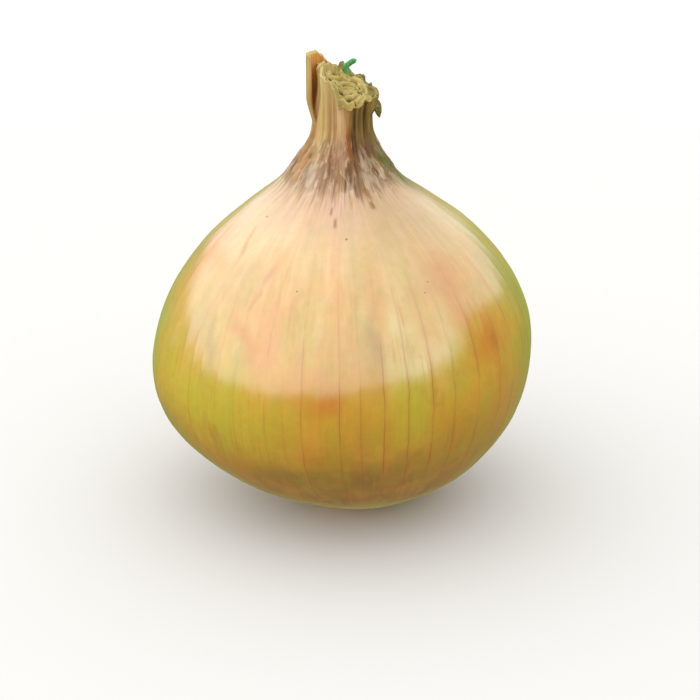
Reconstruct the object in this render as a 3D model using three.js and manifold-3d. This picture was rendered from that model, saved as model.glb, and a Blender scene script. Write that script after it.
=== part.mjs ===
// A large yellow onion with its dried neck, standing on a small flat spot.
// Millimetres, +Z up through the neck, front towards -Y, right towards +X.
// The origin is under the middle of the bulb, on the surface it rests on.
import * as THREE from 'three';
import { mergeVertices } from 'three/addons/utils/BufferGeometryUtils.js';
import Module from 'manifold-3d';

const wasm = await Module();
wasm.setup();

// Driving dimensions of the bulb
const FOOT_RADIUS = 22;
const BULB_RADIUS = 75.6;
const BULB_MIDDLE = 62;
const NECK_RADIUS = 11.9;
const RIM_RADIUS = 12.9;
// Height and radius of the side, from the edge of the flat spot to the cut neck
const SIDE = [
  [0, FOOT_RADIUS], [5, 33], [18, 54], [38, 70.6], [BULB_MIDDLE, BULB_RADIUS], [86, 69.2],
  [106, 55], [120, 38.4], [130, 25.2], [138, 18.8], [143, 15.4], [147, 13.2], [151, 12.1],
  [156, NECK_RADIUS], [162, RIM_RADIUS],
];
const ROWS_PER_SPAN = 2;
const COLUMNS = 96;
// The rows above the waist are stretched up to the slanted cut edge
const WAIST = 151;
const TOP = SIDE.at(-1)[0];
const STRETCH_POWER = 1.5;

// The bulb grew a little askew: its foot lies to the right and its right shoulder is higher
const FOOT_OFFSET = 6.5;
const SHOULDER_OFFSET = 0.9;
const NECK_OFFSET = 0.3;
const LEAN = 0.074;
const LEAN_HEIGHT = 142;
// Lobes of the section, as count, share of the radius and azimuth of the first
const LOBES = [[2, 0.006, 40], [3, 0.004, 25], [5, 0.003, 70]];

// Ribs along the veins of the skin
const RIB_COUNT = 48;
const RIB_HEIGHT = 0.2;
// Lobes and ribs fade out towards the foot and towards this height
const BODY_TOP = 150;

// Flat ring that it rests on, and the dimple that holds the roots
const RING_INNER = 16.5;
const DIMPLE_RADIUS = 15.2;
const DIMPLE_EDGE = 1;
const DIMPLE_HEIGHT = 6.4;
const DIMPLE_CROWN = 7.2;
const DIMPLE_SLOPE = 1.5;

// Pleats at the front of the neck, as azimuth, depth and half width
const PLEATS_FRONT = [
  [-38, 0.5, 5], [-24, 0.8, 5], [-13, 0.9, 4], [22, 1.5, 5], [34, 0.7, 4], [47, 1.1, 5],
];
// The pleats round its back are spaced evenly, but stray a little and differ in size
const PLEATS_BACK = { from: 68, to: 312, spacing: 21, stray: 4, depth: [0.6, 1.3], halfWidth: [4, 6] };
const PLEAT_START = 121;
const PLEAT_FULL = 149;

// Height of the cut edge round the neck, as azimuth from the front and height
const RIM = [
  [-180, 171.4], [-160, 173.2], [-140, 174.6], [-100, 175.2], [-60, 174.8], [-27, 171], [-17, 167.6],
  [-7, 162], [12, 160.4], [32, 161.4], [52, 163.2], [88, 163.6], [120, 166], [150, 169],
];
const RIM_RAGGED = 0.4;
const RIM_TEETH = [11, 17];
const RIM_TIP = { azimuth: -176, rise: 3.4, halfWidth: 4.5 };
const WALL = 1.5;
const WALL_DROP = 0.2;

// The cut across the neck: height of its middle, how late it climbs to the edge,
// and the depth of the hollow between the wall and the inner sheaths
const CUT_MIDDLE = 167;
const CUT_POWER = 1.6;
const CUT_DEPTH = 2.2;
const CUT_RINGS = [0.87, 0.6, 0.3, 0];

// Peeled outer sheath on the left of the neck
const PEEL = { from: -158, to: -64, wall: 1.3, sunk: 0.9, out: 1.3, bottom: 148, free: 160 };
const PEEL_TOP = [
  [-158, 173], [-149, 175], [-141, 177.2], [-132, 178.8], [-112, 179], [-90, 179.4], [-64, 180],
];
const PEEL_RAGGED = 0.3;
const PEEL_TEETH = 14;
const PEEL_STEPS = { across: 20, up: 6 };
// The neck's wall stands back behind it
const INSET = { deep: 2.4, bottom: 152, full: 54, end: 70 };

// Torn lip of an outer sheath on the right of the neck
const LIP = { azimuth: 84, full: 18, end: 30, bottom: 155.6, ramp: 1, out: 1.4 };

// Ends of the inner sheaths that stand in the cut neck
const INNER_SHEATHS = [
  { radius: 9.7, squash: 0.95, from: -52, to: 64, wall: 1.5, rise: 0.1, x: 1.2, y: 0 },
  { radius: 9.4, squash: 0.95, from: 118, to: 236, wall: 1.5, rise: 0.2, x: 1.2, y: 0 },
  { radius: 8.6, squash: 0.78, from: -100, to: 244, wall: 1.5, rise: 0.2, x: 1.4, y: 0 },
  { radius: 6.2, squash: 0.66, from: 20, to: 352, wall: 1.4, rise: 0, x: 1.5, y: -0.2 },
  { radius: 3.9, squash: 0.5, from: -160, to: 150, wall: 1.2, rise: 0.3, x: 1.5, y: 0.1 },
];
const SHEATH_SINK = 4;
// Waves along a sheath's outside, in its wall and in its cut end, as count and size
const SHEATH_WAVES = [[5, 0.03], [9, 0.02]];
const SHEATH_THINNING = [4, 0.2];
const SHEATH_RAGGED = [5, 0.3];
const SHEATH_STEP = 11;

// Roots: a plate, as radius and height of its outline from the face to the crown
const PLATE = [[0, 4.2], [12, 4.2], [13.2, 5.6], [12.6, 6], [0, 6.8]];
const PLATE_SIDES = 30;
// Short trimmed stubs that grow from it
const ROOTS = {
  count: 54, reach: 11.6, radius: 0.75, taper: 0.8, sides: 5, top: 4.8, low: [0.6, 2.2], splay: 0.0167,
};
const GOLDEN_ANGLE = Math.PI * (3 - Math.sqrt(5));
const ROOT_STRAY = 0.4;

// Green inner leaf that stands in the cut
const SHOOT = { width: 2.3, thick: 1.1 };
const SHOOT_PATH = [[2, 9.2, 165], [2, 9.2, 169.6], [1.5, 9, 172], [3.1, 8.8, 173.8], [5.6, 8.6, 175.2]];
const POCKET = { top: 174, under: 0.35, beside: 0.65 };

const SEED = 7;

const { clamp, degToRad, radToDeg, lerp, smoothstep } = THREE.MathUtils;

// Repeatable draws between 0 and 1
function draws(seed) {
  let state = seed;
  return () => {
    state = (state * 16807) % 2147483647;
    return state / 2147483647;
  };
}

// Shortest signed angle between two azimuths, in degrees
function turnBetween(a, b) {
  return ((a - b + 540) % 360) - 180;
}

// A wave round the neck, between -1 and 1
function wave(count, azimuth, phase = 0) {
  return Math.sin(degToRad(count * azimuth + phase));
}

// Azimuth of a point, from the front and growing towards the right
function azimuthOf(x, y) {
  return radToDeg(Math.atan2(x, -y));
}

// Smooth height read from a short list of azimuths and heights
function heightAt(points, azimuth) {
  const before = points.findLastIndex(([at]) => at <= azimuth);
  const i = clamp(before, 0, points.length - 2);
  const [[a, start], [b, end]] = [points[i], points[i + 1]];
  return lerp(start, end, smoothstep(azimuth, a, b));
}

// Pleats round the whole neck: those at the front, then the rest by a spaced rule
function neckPleats() {
  const draw = draws(SEED);
  const pleats = [...PLEATS_FRONT];
  const { from, to, spacing, stray, depth, halfWidth } = PLEATS_BACK;
  for (let a = from; a < to; a += spacing) {
    pleats.push([a + lerp(-stray, stray, draw()), lerp(...depth, draw()), lerp(...halfWidth, draw())]);
  }
  return pleats;
}
const PLEATS = neckPleats();

function pleatDepth(azimuth) {
  let depth = 0;
  for (const [at, deep, half] of PLEATS) {
    depth += deep * Math.exp(-((turnBetween(azimuth, at) / half) ** 2));
  }
  return depth;
}

// Height of the cut edge of the neck's wall
function rimHeight(azimuth) {
  const closed = [...RIM, [RIM[0][0] + 360, RIM[0][1]]];
  const ragged = wave(RIM_TEETH[0], azimuth) + wave(RIM_TEETH[1], azimuth, 50);
  const tip = Math.exp(-((turnBetween(azimuth, RIM_TIP.azimuth) / RIM_TIP.halfWidth) ** 2));
  return heightAt(closed, azimuth) + RIM_RAGGED * ragged + RIM_TIP.rise * tip;
}

const SIDE_CURVE = new THREE.SplineCurve(SIDE.map(([z, r]) => new THREE.Vector2(r, z)));
const SIDE_POINTS = SIDE_CURVE.getPoints(6 * SIDE.length);

// Plain radius of the neck at a height above its foot, before the pleats
function sideRadius(z) {
  const above = SIDE_POINTS.findIndex((p) => p.y > z);
  if (above < 0) return RIM_RADIUS;
  const [a, b] = [SIDE_POINTS[above - 1], SIDE_POINTS[above]];
  return lerp(a.x, b.x, (z - a.y) / (b.y - a.y));
}

// Offset of the section's middle from the Z axis
function axisAt(z) {
  if (z < BULB_MIDDLE) return FOOT_OFFSET * (1 - z / BULB_MIDDLE) ** 2;
  const rise = clamp((z - BULB_MIDDLE) / (TOP - BULB_MIDDLE), 0, 1);
  return NECK_OFFSET * rise - SHOULDER_OFFSET * Math.sin(Math.PI * rise) ** 2;
}

// Radius of the skin at one azimuth, from the plain radius of its row
function shapedRadius(radius, azimuth, z) {
  const body = Math.sin(Math.PI * clamp(z / BODY_TOP, 0, 1));
  let shaped = radius;
  for (const [count, size, phase] of LOBES) {
    shaped *= 1 + size * body * Math.cos(degToRad(count * (azimuth - phase)));
  }
  shaped += RIB_HEIGHT * body * Math.cos(degToRad(RIB_COUNT * azimuth));
  shaped -= smoothstep(z, PLEAT_START, PLEAT_FULL) * pleatDepth(azimuth);
  const fromLip = Math.abs(turnBetween(azimuth, LIP.azimuth));
  const lip = 1 - smoothstep(fromLip, LIP.full, LIP.end);
  return shaped + LIP.out * lip * smoothstep(z, LIP.bottom - LIP.ramp, LIP.bottom + LIP.ramp);
}

// How far the neck's wall stands back behind the peeled sheath
function peelInset(azimuth, z) {
  const aside = Math.abs(turnBetween(azimuth, (PEEL.from + PEEL.to) / 2));
  const behind = 1 - smoothstep(aside, INSET.full, INSET.end);
  return INSET.deep * behind * smoothstep(z, INSET.bottom, PEEL.free);
}

// A point at a reach from the Z axis, moved along X
function pointAt(reach, azimuth, z, offset) {
  const a = degToRad(azimuth);
  return new THREE.Vector3(offset + reach * Math.sin(a), -reach * Math.cos(a), z);
}

// A point of the skin, from its row's radius and height. A fraction below 1 lies
// inside the cut edge.
function skinPoint(radius, azimuth, z, fraction) {
  const reach = (shapedRadius(radius, azimuth, z) - peelInset(azimuth, z)) * fraction;
  const lean = LEAN * Math.sin(Math.PI * clamp(z / LEAN_HEIGHT, 0, 1));
  const leant = z + lean * reach * Math.sin(degToRad(azimuth));
  const stretch = clamp((z - WAIST) / (TOP - WAIST), 0, 1) ** STRETCH_POWER;
  return pointAt(reach, azimuth, lerp(leant, rimHeight(azimuth), stretch), axisAt(z));
}

// Height of the cut across the neck, between its edge and its middle
function cutHeight(x, y) {
  const share = Math.min(Math.hypot(x, y) / (RIM_RADIUS - WALL), 1);
  return lerp(CUT_MIDDLE, rimHeight(azimuthOf(x, y)), share ** CUT_POWER);
}

function toSolid(geometry) {
  const bare = geometry.clone();
  bare.deleteAttribute('normal');
  bare.deleteAttribute('uv');
  const merged = mergeVertices(bare, 1e-4);
  const index = merged.index.array;
  const kept = [];
  for (let i = 0; i < index.length; i += 3) {
    const [a, b, c] = [index[i], index[i + 1], index[i + 2]];
    if (a !== b && b !== c && c !== a) kept.push(a, b, c);
  }
  return new wasm.Manifold(new wasm.Mesh({
    numProp: 3,
    vertProperties: new Float32Array(merged.attributes.position.array),
    triVerts: new Uint32Array(kept),
  }));
}

function toGeometry(solid) {
  const mesh = solid.getMesh();
  const geometry = new THREE.BufferGeometry();
  geometry.setAttribute('position', new THREE.BufferAttribute(mesh.vertProperties, 3));
  geometry.setIndex(new THREE.BufferAttribute(mesh.triVerts, 1));
  geometry.computeVertexNormals();
  return geometry;
}

function fuse(solids) {
  return solids.reduce((joined, solid) => joined.add(solid));
}

// The outer shell alone: hollows that fusing sealed are filled, loose scraps dropped
function largestShell(solid) {
  return solid.decompose().reduce((best, shell) => (shell.volume() > best.volume() ? shell : best));
}

// Rows of the skin from the middle of the dimple to the middle of the cut
function skinRows() {
  const foot = [
    [0, DIMPLE_CROWN], [DIMPLE_RADIUS - DIMPLE_SLOPE, DIMPLE_HEIGHT], [DIMPLE_RADIUS, DIMPLE_EDGE],
    [RING_INNER, 0], [FOOT_RADIUS, 0],
  ];
  const side = SIDE_CURVE.getPoints(ROWS_PER_SPAN * (SIDE.length - 1)).slice(1);
  const wall = (RIM_RADIUS - WALL) / RIM_RADIUS;
  return [
    ...foot.map(([r, z]) => ({ r, z, flat: true })),
    ...side.map((p) => ({ r: p.x, z: p.y })),
    { r: RIM_RADIUS, z: TOP, fraction: wall, drop: WALL_DROP },
    ...CUT_RINGS.map((fraction) => ({ r: RIM_RADIUS, z: TOP, fraction, drop: CUT_DEPTH })),
  ];
}

// Skin of bulb and neck: a lathed profile whose points are then moved
function skin() {
  const rows = skinRows();
  const profile = rows.map(({ r, z, fraction = 1 }) => new THREE.Vector2(r * fraction, z));
  const geometry = new THREE.LatheGeometry(profile, COLUMNS);
  const { position, uv } = geometry.attributes;
  for (let i = 0; i < position.count; i += 1) {
    const { r, z, flat, fraction = 1, drop } = rows[Math.round(uv.getY(i) * (rows.length - 1))];
    const azimuth = 360 * (uv.getX(i) % 1) - 180;
    const point = flat ? pointAt(r, azimuth, z, FOOT_OFFSET) : skinPoint(r, azimuth, z, fraction);
    if (drop) point.z = cutHeight(point.x, point.y) - drop;
    position.setXYZ(i, point.x, point.y, point.z);
  }
  return toSolid(geometry);
}

// A curved band between two azimuths, as an outline to extrude upwards
function bandShape(outer, inner, from, to, count) {
  const side = (radiusAt) => Array.from({ length: count + 1 }, (_, i) => {
    const azimuth = lerp(from, to, i / count);
    const { x, y } = pointAt(radiusAt(azimuth), azimuth, 0, 0);
    return new THREE.Vector2(x, y);
  });
  return new THREE.Shape([...side(outer), ...side(inner).reverse()]);
}

// Sheath that has dried and come away from the neck on the left: it leaves the
// skin at the waist and stands free above
function peeledSheath() {
  const plain = () => NECK_RADIUS;
  const inside = () => NECK_RADIUS - PEEL.wall;
  const shape = bandShape(plain, inside, PEEL.from, PEEL.to, PEEL_STEPS.across);
  const band = { depth: 1, steps: PEEL_STEPS.up, bevelEnabled: false };
  const geometry = new THREE.ExtrudeGeometry(shape, band);
  const { position } = geometry.attributes;
  for (let i = 0; i < position.count; i += 1) {
    const [x, y, share] = [position.getX(i), position.getY(i), position.getZ(i)];
    const azimuth = azimuthOf(x, y);
    const top = heightAt(PEEL_TOP, azimuth) + PEEL_RAGGED * wave(PEEL_TEETH, azimuth);
    const z = lerp(PEEL.bottom, top, share);
    const away = lerp(-PEEL.sunk, PEEL.out, smoothstep(z, PEEL.bottom, PEEL.free));
    const outer = shapedRadius(sideRadius(z), azimuth, z) + away;
    const point = pointAt(outer + Math.hypot(x, y) - NECK_RADIUS, azimuth, z, axisAt(z));
    position.setXYZ(i, point.x, point.y, point.z);
  }
  return toSolid(geometry);
}

// One inner sheath end, cut off with the neck
function innerSheath({ radius, squash, from, to, wall, rise, x: middleX, y: middleY }) {
  const [[bends, bend], [ripples, ripple]] = SHEATH_WAVES;
  const [thins, thin] = SHEATH_THINNING;
  const [tears, tear] = SHEATH_RAGGED;
  const outer = (a) => radius * (1 + bend * wave(bends, a, from) + ripple * wave(ripples, a));
  const inner = (a) => outer(a) - wall * (1 + thin * wave(thins, a, to));
  const shape = bandShape(outer, inner, from, to, Math.round((to - from) / SHEATH_STEP));
  const geometry = new THREE.ExtrudeGeometry(shape, { depth: 1, steps: 1, bevelEnabled: false });
  geometry.scale(1, squash, 1).translate(middleX, middleY, 0);
  const { position } = geometry.attributes;
  for (let i = 0; i < position.count; i += 1) {
    const [x, y, share] = [position.getX(i), position.getY(i), position.getZ(i)];
    const cut = cutHeight(x, y);
    const top = cut + rise + tear * wave(tears, azimuthOf(x, y), from);
    position.setZ(i, lerp(cut - SHEATH_SINK, top, share));
  }
  return toSolid(geometry);
}

// Leaf section swept along the shoot's path
function greenShoot() {
  const section = new THREE.Shape();
  section.absellipse(0, 0, SHOOT.thick / 2, SHOOT.width / 2, 0, 2 * Math.PI);
  const path = new THREE.CatmullRomCurve3(SHOOT_PATH.map((p) => new THREE.Vector3(...p)));
  return toSolid(new THREE.ExtrudeGeometry(section, { steps: 8, curveSegments: 5, extrudePath: path }));
}

// Straight hole round the shoot's foot, a little wider than the shoot
function shootPocket() {
  const [x, y, z] = SHOOT_PATH[0];
  const section = new THREE.Shape();
  const [halfWidth, halfThick] = [SHOOT.width / 2 + POCKET.beside, SHOOT.thick / 2 + POCKET.beside];
  section.absellipse(0, 0, halfWidth, halfThick, 0, 2 * Math.PI);
  const floor = z - POCKET.under;
  const hole = { depth: POCKET.top - floor, curveSegments: 6, bevelEnabled: false };
  return toSolid(new THREE.ExtrudeGeometry(section, hole).translate(x, y, floor));
}

// One root: a tapered stub that splays out towards its trimmed end
function rootStub(distance, angle, low) {
  const { radius, taper, sides, top, splay } = ROOTS;
  const stub = new THREE.CylinderGeometry(radius, radius * taper, top - low, sides);
  stub.rotateX(Math.PI / 2).translate(0, 0, (top + low) / 2);
  const { position } = stub.attributes;
  for (let i = 0; i < position.count; i += 1) {
    const out = distance * (1 + splay * (top - position.getZ(i)));
    position.setX(i, position.getX(i) + out * Math.cos(angle));
    position.setY(i, position.getY(i) + out * Math.sin(angle));
  }
  return toSolid(stub);
}

// Plate under the bulb with the trimmed roots that grow from it
function rootPlate() {
  const profile = PLATE.map(([r, z]) => new THREE.Vector2(r, z));
  const solids = [toSolid(new THREE.LatheGeometry(profile, PLATE_SIDES).rotateX(Math.PI / 2))];
  const draw = draws(SEED);
  for (let i = 0; i < ROOTS.count; i += 1) {
    const distance = ROOTS.reach * Math.sqrt((i + 0.5) / ROOTS.count);
    const angle = i * GOLDEN_ANGLE + ROOT_STRAY * draw();
    solids.push(rootStub(distance, angle, lerp(...ROOTS.low, draw())));
  }
  return fuse(solids).translate(FOOT_OFFSET, 0, 0);
}

function bulb() {
  const body = fuse([skin(), peeledSheath(), ...INNER_SHEATHS.map(innerSheath)]);
  return largestShell(body.subtract(shootPocket()));
}

const PIECES = [
  ['bulb', bulb, 0xd9a441, 0.35],
  ['root_plate', rootPlate, 0x8a6a45, 0.9],
  ['green_shoot', greenShoot, 0x4f9f6b, 0.6],
];

const onion = new THREE.Group();
onion.name = 'onion';
for (const [name, make, color, roughness] of PIECES) {
  const material = new THREE.MeshStandardMaterial({ color, roughness, metalness: 0 });
  const mesh = new THREE.Mesh(toGeometry(make()), material);
  mesh.name = name;
  onion.add(mesh);
}

export default onion;
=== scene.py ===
import math

import bpy
import numpy as np
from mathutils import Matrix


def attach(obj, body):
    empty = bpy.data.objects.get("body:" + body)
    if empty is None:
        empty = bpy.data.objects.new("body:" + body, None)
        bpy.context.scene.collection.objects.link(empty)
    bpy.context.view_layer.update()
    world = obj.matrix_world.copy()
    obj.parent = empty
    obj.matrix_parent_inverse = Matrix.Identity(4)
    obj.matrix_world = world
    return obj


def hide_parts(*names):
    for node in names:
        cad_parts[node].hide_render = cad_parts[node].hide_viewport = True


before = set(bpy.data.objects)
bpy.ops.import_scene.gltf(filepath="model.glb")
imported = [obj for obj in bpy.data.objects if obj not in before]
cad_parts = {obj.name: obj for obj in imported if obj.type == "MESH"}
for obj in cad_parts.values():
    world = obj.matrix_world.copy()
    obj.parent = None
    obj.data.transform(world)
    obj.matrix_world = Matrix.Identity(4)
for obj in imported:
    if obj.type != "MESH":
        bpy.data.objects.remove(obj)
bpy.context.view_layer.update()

# A large yellow onion with its dried neck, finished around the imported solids.
# Shapes are worked out in millimetres and made in metres. Azimuths are in
# degrees from the front (-Y), growing towards the right (+X).
MM = 0.001

# Driving dimensions, the same as the solids have
FOOT_RADIUS = 22
BULB_RADIUS = 75.6
BULB_MIDDLE = 62
NECK_RADIUS = 11.9
RIM_RADIUS = 12.9
SIDE = [
    (0, FOOT_RADIUS), (5, 33), (18, 54), (38, 70.6), (BULB_MIDDLE, BULB_RADIUS), (86, 69.2),
    (106, 55), (120, 38.4), (130, 25.2), (138, 18.8), (143, 15.4), (147, 13.2), (151, 12.1),
    (156, NECK_RADIUS), (162, RIM_RADIUS),
]
WAIST = 151
TOP = SIDE[-1][0]
FOOT_OFFSET = 6.5
SHOULDER_OFFSET = 0.9
LEAN = 0.074
LEAN_HEIGHT = 142
LOBES = [(2, 0.006, 40), (3, 0.004, 25), (5, 0.003, 70)]
RING_INNER = 16.5
DIMPLE_RADIUS = 15.2
DIMPLE_HEIGHT = 6.4
DIMPLE_CROWN = 7.2
PLEATS_FRONT = [(-38, 0.5, 5), (-24, 0.8, 5), (-13, 0.9, 4), (22, 1.5, 5), (34, 0.7, 4), (47, 1.1, 5)]
PLEATS_BACK_FROM = 68
PLEATS_BACK_TO = 312
PLEAT_SPACING = 21
PLEAT_START = 121
PLEAT_FULL = 149
RIM = [
    (-180, 171.4), (-160, 173.2), (-140, 174.6), (-100, 175.2), (-60, 174.8), (-27, 171), (-17, 167.6),
    (-7, 162), (12, 160.4), (32, 161.4), (52, 163.2), (88, 163.6), (120, 166), (150, 169),
]
RIM_RAGGED = 0.4
RIM_TIP = (-178, 2.7, 6)
CUT_MIDDLE = 167
WALL = 1.5
CUT_DEPTH = 2.2
HOLE_DEPTH = 1.8
PEEL = dict(
    start=-158, end=-64, wall=1.3, sunk=0.9, out=1.3, bottom=148, free=160, inset=2.4, ragged=0.3,
)
PEEL_TOP = [(-158, 173), (-149, 175), (-141, 177.2), (-132, 178.8), (-112, 179), (-90, 179.4), (-64, 180)]
LIP = dict(azimuth=84, half_width=30, bottom=155.6, out=1.4)
INNER_SHEATHS = [
    dict(radius=9.7, squash=0.95, start=-52, end=64, wall=1.5, rise=0.1, x=1.2, y=0),
    dict(radius=9.4, squash=0.95, start=118, end=236, wall=1.5, rise=0.2, x=1.2, y=0),
    dict(radius=8.6, squash=0.78, start=-100, end=244, wall=1.5, rise=0.2, x=1.4, y=0),
    dict(radius=6.2, squash=0.66, start=20, end=352, wall=1.4, rise=0, x=1.5, y=-0.2),
    dict(radius=3.9, squash=0.5, start=-160, end=150, wall=1.2, rise=0.3, x=1.5, y=0.1),
]
PLATE = dict(radius=14.2, crown=6.8, edge=5.6, face=4.2)
SHOOT = dict(width=2.3, thick=1.1)
SHOOT_PATH = [(2, 9.2, 165), (2, 9.2, 169.6), (1.5, 9, 172), (3.1, 8.8, 173.8), (5.6, 8.6, 175.2)]
SEED = 7

# Veins of the skin: azimuth and strength at the front, then a spaced rule round the back
VEINS_FRONT = [
    (-51, 0.5), (-46.6, 0.3), (-39.5, 0.35), (-32.8, 0.55), (-27.4, 0.2), (-22.4, 0.6), (-16.8, 0.25),
    (-11.3, 0.8), (-5.9, 0.25), (-0.5, 1.0), (5.3, 0.6), (11.9, 0.95), (18.9, 0.8), (26.3, 0.95),
    (33.4, 0.6), (42.3, 0.8), (51.9, 0.6),
]
VEIN_SPACING = 7.1
VEIN_HEIGHT = 0.08
# Columns of the skin between one vein and the next, as shares of their distance
COLUMN_SHARES = (0, 0.06, 0.13, 0.25, 0.38, 0.5, 0.62, 0.75, 0.87, 0.94)

# Camera, from the fit to the outline and the veins
CAMERA_ELEVATION = 21
CAMERA_DISTANCE = 0.75
CAMERA_TARGET = (0.0031, 0, 0.0595)
PX_PER_UNIT = 1875
FRAME_PX = 700
SENSOR_MM = 36


# Light: brightness of the sky by height, how much the left outshines the right, how much it is
# dimmer low at the front, and colours of the ground far off and below
SKY = [(0.0, 1.5), (0.25, 1.68), (0.6, 1.5), (0.95, 1.32)]
SKY_SIDE = 0.2
FRONT_DIM = 0.18
GRASS = (0.42, 0.455, 0.12, 1)
MEADOW = (0.31, 0.46, 0.12, 1)
EARTH = (0.40, 0.27, 0.13, 1)
# Height of the far ground, as the sine of its elevation, by heading from the front
HORIZON = [
    (-180, 0.08), (-154, 0.0), (-138, 0.08), (-125, 0.1), (-112, 0.0), (-92, -0.08), (-60, -0.1),
    (-21, -0.03), (14, 0.01), (47, 0.03), (63, 0.08), (75, 0.22), (98, 0.33), (112, 0.22), (129, 0.1),
    (160, 0.08), (180, 0.08),
]
HORIZON_LOWEST = -0.2

# Stage: radius and height in metres
FLOOR = [(0.05, 0), (0.3, 0), (0.8, 0), (1.6, 0), (2.4, 0)]
BACKDROP = [(2.4, 0), (2.9, 0.06), (3.4, 0.3), (3.8, 0.8), (4, 1.6), (4, 3), (3.4, 5), (2, 6), (0.1, 6.2)]


def smoothstep(x, low, high):
    t = np.clip((x - low) / (high - low), 0, 1)
    return t * t * (3 - 2 * t)


def lerp(a, b, t):
    return a + (b - a) * t


def turn_between(a, b):
    return (a - b + 540) % 360 - 180


def draws(seed):
    """Repeatable draws between 0 and 1, the same as the solids use."""
    state = seed
    while True:
        state = state * 16807 % 2147483647
        yield state / 2147483647


def waves(seed, count, low, high):
    """A sum of sines in three coordinates: smooth seeded noise of about -1 to 1."""
    rng = np.random.default_rng(seed)
    ways = rng.normal(0, 1, (count, 3))
    ways /= np.linalg.norm(ways, axis=1)[:, None]
    sizes = np.exp(rng.uniform(np.log(low), np.log(high), count))
    phases = rng.uniform(0, 2 * np.pi, count)

    def at(x, y, z=0):
        total = sum(np.sin(f * (x * u + y * v + z * w) + p) for (u, v, w), f, p in zip(ways, sizes, phases))
        return total / math.sqrt(count)

    return at


def around(azimuth, z, turn, rise):
    """Coordinates in which noise closes round the onion: a circle of radius turn, and height over rise."""
    a = np.radians(azimuth)
    return turn * np.sin(a), -turn * np.cos(a), z / rise


def ring_noise(seed, lowest, highest):
    """Seeded noise round the onion, made of whole numbers of waves so that it closes."""
    rng = np.random.default_rng(seed)
    counts = np.arange(lowest, highest + 1)
    sizes = rng.normal(0, 1, len(counts)) / math.sqrt(len(counts))
    phases = rng.uniform(0, 2 * np.pi, len(counts))

    def at(azimuth):
        a = np.radians(azimuth)
        return sum(s * np.cos(n * a + p) for n, s, p in zip(counts, sizes, phases))

    return at


def height_at(points, azimuth, closed=False):
    a, h = (np.array(v, float) for v in zip(*points))
    if closed:
        a = np.concatenate([a, [a[0] + 360]])
        h = np.concatenate([h, [h[0]]])
        azimuth = (azimuth - a[0]) % 360 + a[0]
    i = np.clip(np.searchsorted(a, azimuth, side="right") - 1, 0, len(a) - 2)
    return lerp(h[i], h[i + 1], smoothstep(azimuth, a[i], a[i + 1]))


def neck_pleats():
    draw = draws(SEED)
    pleats = list(PLEATS_FRONT)
    for a in range(PLEATS_BACK_FROM, PLEATS_BACK_TO, PLEAT_SPACING):
        pleats.append((a + 8 * (next(draw) - 0.5), 0.6 + 0.7 * next(draw), 4 + 2 * next(draw)))
    return pleats


PLEATS = neck_pleats()
FOLDS = ring_noise(11, 24, 60)
CREASES = ring_noise(12, 70, 150)


def pleat_depth(azimuth):
    return sum(deep * np.exp(-((turn_between(azimuth, at) / half) ** 2)) for at, deep, half in PLEATS)


def rim_height(azimuth):
    ragged = np.sin(np.radians(azimuth * 11)) + np.sin(np.radians(azimuth * 17 + 50))
    at, rise, half = RIM_TIP
    tip = np.exp(-((turn_between(azimuth, at) / half) ** 4))
    return height_at(RIM, azimuth, closed=True) + RIM_RAGGED * ragged + rise * tip


def side_rows(per_span):
    """Radius and height of rows on the smooth curve through SIDE, and where each span begins."""
    points = np.array([(r, z) for z, r in SIDE], float)
    rows = []
    for i, count in enumerate(per_span):
        p0, p1, p2, p3 = (points[np.clip(i + k, 0, len(points) - 1)] for k in (-1, 0, 1, 2))
        for t in np.arange(count) / count:
            rows.append(0.5 * (
                2 * p1 + (p2 - p0) * t + (2 * p0 - 5 * p1 + 4 * p2 - p3) * t**2
                + (3 * p1 - p0 - 3 * p2 + p3) * t**3
            ))
    rows.append(points[-1])
    return np.array(rows)


SIDE_FINE = side_rows([24] * (len(SIDE) - 1))


def side_radius(z):
    return np.interp(z, SIDE_FINE[:, 1], SIDE_FINE[:, 0])


def axis_at(z):
    low = FOOT_OFFSET * (1 - np.minimum(z, BULB_MIDDLE) / BULB_MIDDLE) ** 2
    rise = np.clip((z - BULB_MIDDLE) / 100, 0, 1)
    return low + 0.3 * rise - SHOULDER_OFFSET * np.sin(np.pi * rise) ** 2


def vein_table():
    """Azimuths of all veins round the onion, in order, and their strengths."""
    rng = np.random.default_rng(SEED)
    veins = list(VEINS_FRONT)
    first, last = VEINS_FRONT[0][0] + 360, VEINS_FRONT[-1][0]
    count = round((first - last) / VEIN_SPACING)
    for i in range(1, count):
        at = lerp(last, first, i / count) + rng.uniform(-1.7, 1.7)
        veins.append((at, rng.uniform(0.25, 1)))
    return np.array(veins)


VEINS = vein_table()
VEIN_COUNT = len(VEINS)


def vein_phase(azimuth):
    """Azimuth counted in veins: a whole number on each vein."""
    at = np.concatenate([VEINS[:, 0], [VEINS[0, 0] + 360]])
    wrapped = (azimuth - at[0]) % 360 + at[0]
    return np.interp(wrapped, at, np.arange(VEIN_COUNT + 1))


def skin_columns():
    """Azimuths of the columns of the skin, closest together beside the veins."""
    phase = (np.arange(VEIN_COUNT)[:, None] + np.array(COLUMN_SHARES)).ravel()
    at = np.concatenate([VEINS[:, 0], [VEINS[0, 0] + 360]])
    return np.interp(phase, np.arange(VEIN_COUNT + 1), at)


COLUMN_AZIMUTHS = skin_columns()


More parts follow.
